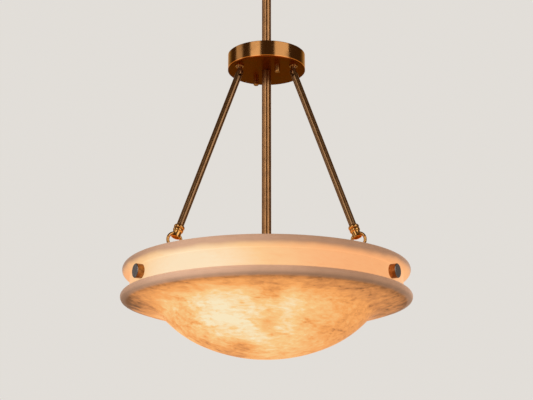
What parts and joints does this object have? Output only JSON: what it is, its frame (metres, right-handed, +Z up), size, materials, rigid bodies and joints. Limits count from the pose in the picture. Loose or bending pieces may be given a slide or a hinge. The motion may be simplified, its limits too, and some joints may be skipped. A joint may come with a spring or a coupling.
{
  "type": "alabaster bowl pendant",
  "caption": "Ceiling pendant with a wide veined alabaster bowl hung from a turned brass hub by slanting rods and rings, on a central stem from a canopy.",
  "frame": {"origin": "centre of the ceiling strap's upper face, where the pendant meets the ceiling", "axes": "+Z up along the stem, -Y towards the front of the picture"},
  "size_m": [0.508, 0.5079, 0.7403],
  "materials": {
    "alabaster": "polished veined alabaster, lit from within",
    "brushed_brass": "brushed antique brass",
    "dark_brass": "aged brass, darker in the recesses",
    "ground_green": "green lacquered steel",
    "lamp_cap_metal": "bright screw cap",
    "lamp_glass": "frosted lamp glass",
    "liner_nylon": "natural nylon",
    "pad_rubber": "soft black rubber",
    "porcelain": "glazed porcelain",
    "terminal_plastic": "moulded terminal plastic",
    "zinc_steel": "zinc plated steel"
  },
  "bodies": {
    "ceiling": {"ceiling_crossbar": "zinc_steel", "ground_screw": "ground_green", "canopy_studs": "zinc_steel", "canopy": "brushed_brass", "canopy_nuts": "brushed_brass", "swivel_socket": "brushed_brass", "swivel_socket_screws": "zinc_steel"},
    "swivel": {"swivel_liner": "liner_nylon"},
    "pendant": {"swivel_ball": "brushed_brass", "stem_nipple": "zinc_steel", "upper_stem": "brushed_brass", "hub_nipple": "zinc_steel", "hub_housing": "brushed_brass", "hub_spider": "zinc_steel", "hub_lock_nuts": "zinc_steel", "hub_cover": "brushed_brass", "hub_cover_studs": "zinc_steel", "hub_cover_nuts": "brushed_brass", "terminal_block": "terminal_plastic", "rod_ferrules": "brushed_brass", "rod_stub_nuts": "zinc_steel", "rod_stubs": "dark_brass", "lower_stem": "brushed_brass", "cluster_nipple": "zinc_steel", "cluster_body": "brushed_brass", "cluster_lid": "brushed_brass", "cluster_finial": "brushed_brass", "socket_nipples": "zinc_steel", "lamp_socket_front": "porcelain", "lamp_socket_right": "porcelain", "lamp_socket_rear": "porcelain", "bulb_cap_front": "lamp_cap_metal", "bulb_cap_right": "lamp_cap_metal", "bulb_cap_rear": "lamp_cap_metal", "bulb_globe_front": "lamp_glass", "bulb_globe_right": "lamp_glass", "bulb_globe_rear": "lamp_glass"},
    "bowl": {"alabaster_bowl": "alabaster", "bowl_bracket_rear": "brushed_brass", "bowl_bracket_left": "brushed_brass", "bowl_bracket_right": "brushed_brass", "bracket_pads": "pad_rubber", "bracket_nuts": "zinc_steel", "knob_bolts": "zinc_steel", "knob_washers": "pad_rubber", "bowl_knob_rear": "brushed_brass", "bowl_knob_left": "brushed_brass", "bowl_knob_right": "brushed_brass"},
    "rod_rear": {"suspension_rod_rear": "brushed_brass", "rod_pin_rear": "dark_brass", "rod_tip_rear": "brushed_brass", "hanging_ring_rear": "brushed_brass"},
    "rod_left": {"suspension_rod_left": "brushed_brass", "rod_pin_left": "dark_brass", "rod_tip_left": "brushed_brass", "hanging_ring_left": "brushed_brass"},
    "rod_right": {"suspension_rod_right": "brushed_brass", "rod_pin_right": "dark_brass", "rod_tip_right": "brushed_brass", "hanging_ring_right": "brushed_brass"}
  },
  "joints": [
    {"name": "stem_tilt_side", "type": "hinge", "parent": "ceiling", "child": "swivel", "pos_m": [0, 0, -0.02], "axis": [0, 1, 0], "range_deg": [-20, 20]},
    {"name": "stem_tilt_front", "type": "hinge", "parent": "swivel", "child": "pendant", "pos_m": [0, 0, -0.02], "axis": [1, 0, 0], "range_deg": [-20, 20]},
    {"name": "bowl_twist", "type": "hinge", "parent": "pendant", "child": "bowl", "pos_m": [0, 0, -0.591], "axis": [0, 0, 1], "range_deg": [-7, 7], "stiffness_Nm_per_rad": 2.4},
    {"name": "rod_swing_rear", "type": "hinge", "parent": "pendant", "child": "rod_rear", "pos_m": [0, 0.0564, -0.2258], "axis": [0, 0.9356, 0.353], "range_deg": [-3.7, 3.7]},
    {"name": "rod_swing_left", "type": "hinge", "parent": "pendant", "child": "rod_left", "pos_m": [-0.04884, -0.0282, -0.2258], "axis": [-0.8103, -0.4678, 0.353], "range_deg": [-3.7, 3.7]},
    {"name": "rod_swing_right", "type": "hinge", "parent": "pendant", "child": "rod_right", "pos_m": [0.04884, -0.0282, -0.2258], "axis": [0.8103, -0.4678, 0.353], "range_deg": [-3.7, 3.7]}
  ],
  "couplings": [
    {"joint": "rod_swing_rear", "follows": "bowl_twist", "ratio": 0.5086},
    {"joint": "rod_swing_left", "follows": "bowl_twist", "ratio": 0.5086},
    {"joint": "rod_swing_right", "follows": "bowl_twist", "ratio": 0.5086}
  ]
}
